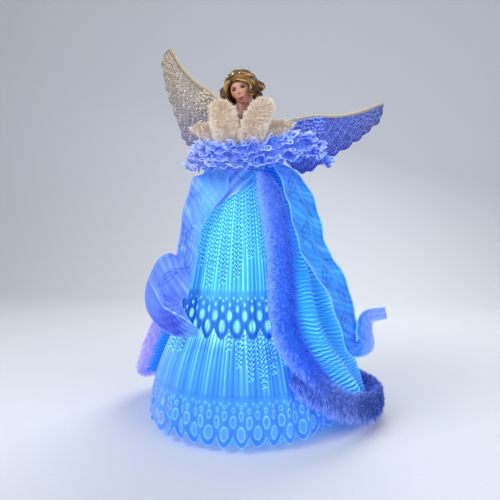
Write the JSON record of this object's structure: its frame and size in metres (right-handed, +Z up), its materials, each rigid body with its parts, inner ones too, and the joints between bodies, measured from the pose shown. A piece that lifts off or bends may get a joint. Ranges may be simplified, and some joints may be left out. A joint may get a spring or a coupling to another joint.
{
  "type": "lighted angel tree topper",
  "caption": "Angel figure in a pleated, lace-hemmed dress and fur-trimmed cloak on a hollow cone that slips over a tree tip, with turning wings and lamps inside",
  "frame": {"origin": "centre of the cone's open foot, on the plane it stands on", "axes": "+Z up along the cone's axis; the angel faces -Y and its own left side is +X"},
  "size_m": [0.3123, 0.2629, 0.4441],
  "materials": {
    "cone_plastic": "milky translucent moulding",
    "white_plastic": "moulded, satin",
    "black_plastic": "moulded, satin",
    "lead_sleeve": "extruded sleeve",
    "lamp_epoxy": "clear, lit",
    "spring_steel": "nickel plated",
    "cell_sleeve": "plain shrink sleeve",
    "painted_resin": "hand painted",
    "wig_hair": "curled fibre",
    "gilt_brass": "gilt",
    "pleated_organza": "sheer, pleated, lit from inside",
    "crinkled_cloth": "crinkled, lit from inside",
    "eyelet_lace": "cut-work lace",
    "sash_ribbon": "wired brocade ribbon",
    "white_fur": "long pile fur cloth, lit blue",
    "ivory_fur": "long pile fur cloth",
    "wing_satin": "embroidered satin",
    "gold_cord": "twisted cord"
  },
  "bodies": {
    "figure": {"battery_box": "white_plastic", "battery_cell_1": "cell_sleeve", "battery_cell_2": "cell_sleeve", "box_screw_1": "spring_steel", "box_screw_2": "spring_steel", "bracket_screw": "spring_steel", "cell_spring_1": "spring_steel", "cell_spring_2": "spring_steel", "cloak": "crinkled_cloth", "collar_clasp": "gilt_brass", "contact_bridge": "spring_steel", "fur_collar_left": "ivory_fur", "fur_collar_right": "ivory_fur", "fur_front_left": "white_fur", "fur_front_right": "white_fur", "fur_hem": "white_fur", "fur_sleeve_left": "ivory_fur", "fur_sleeve_right": "ivory_fur", "hair_cap": "wig_hair", "hair_ringlet_left": "wig_hair", "hair_ringlet_right": "wig_hair", "head": "painted_resin", "lace_collar": "eyelet_lace", "lamp_holder_1": "white_plastic", "lamp_holder_2": "white_plastic", "lamp_holder_3": "white_plastic", "lamp_holder_4": "white_plastic", "lamp_holder_5": "white_plastic", "lamp_lead": "lead_sleeve", "led_lamp_1": "lamp_epoxy", "led_lamp_2": "lamp_epoxy", "led_lamp_3": "lamp_epoxy", "led_lamp_4": "lamp_epoxy", "led_lamp_5": "lamp_epoxy", "lid_pin": "spring_steel", "sash_left": "sash_ribbon", "sash_right": "sash_ribbon", "skirt_lower": "pleated_organza", "skirt_upper": "pleated_organza", "support_cone": "cone_plastic", "switch_body": "black_plastic", "tiara": "gilt_brass", "torso": "painted_resin", "waistband": "sash_ribbon", "wing_bracket": "white_plastic", "wing_rivet_left": "spring_steel", "wing_rivet_right": "spring_steel"},
    "left_wing": {"wing_arm_left": "white_plastic", "wing_panel_left": "wing_satin", "wing_coverts_left": "wing_satin", "wing_rim_left": "gold_cord"},
    "right_wing": {"wing_arm_right": "white_plastic", "wing_panel_right": "wing_satin", "wing_coverts_right": "wing_satin", "wing_rim_right": "gold_cord"},
    "lid": {"battery_lid": "white_plastic"},
    "switch": {"switch_slider": "black_plastic"}
  },
  "joints": [
    {"name": "left_wing_turn", "type": "hinge", "parent": "figure", "child": "left_wing", "pos_m": [0.018, 0.0447, 0.324], "axis": [0, -1, 0], "range_deg": [-6, 44]},
    {"name": "right_wing_turn", "type": "hinge", "parent": "figure", "child": "right_wing", "pos_m": [-0.018, 0.0447, 0.324], "axis": [0, 1, 0], "range_deg": [-45, 5]},
    {"name": "lid_swing", "type": "hinge", "parent": "figure", "child": "lid", "pos_m": [0, 0.03343, 0.07333], "axis": [-1, 0, 0], "range_deg": [0, 85]},
    {"name": "switch_slide", "type": "slide", "parent": "figure", "child": "switch", "axis": [1, 0, 0], "range_m": [0, 0.004]}
  ]
}
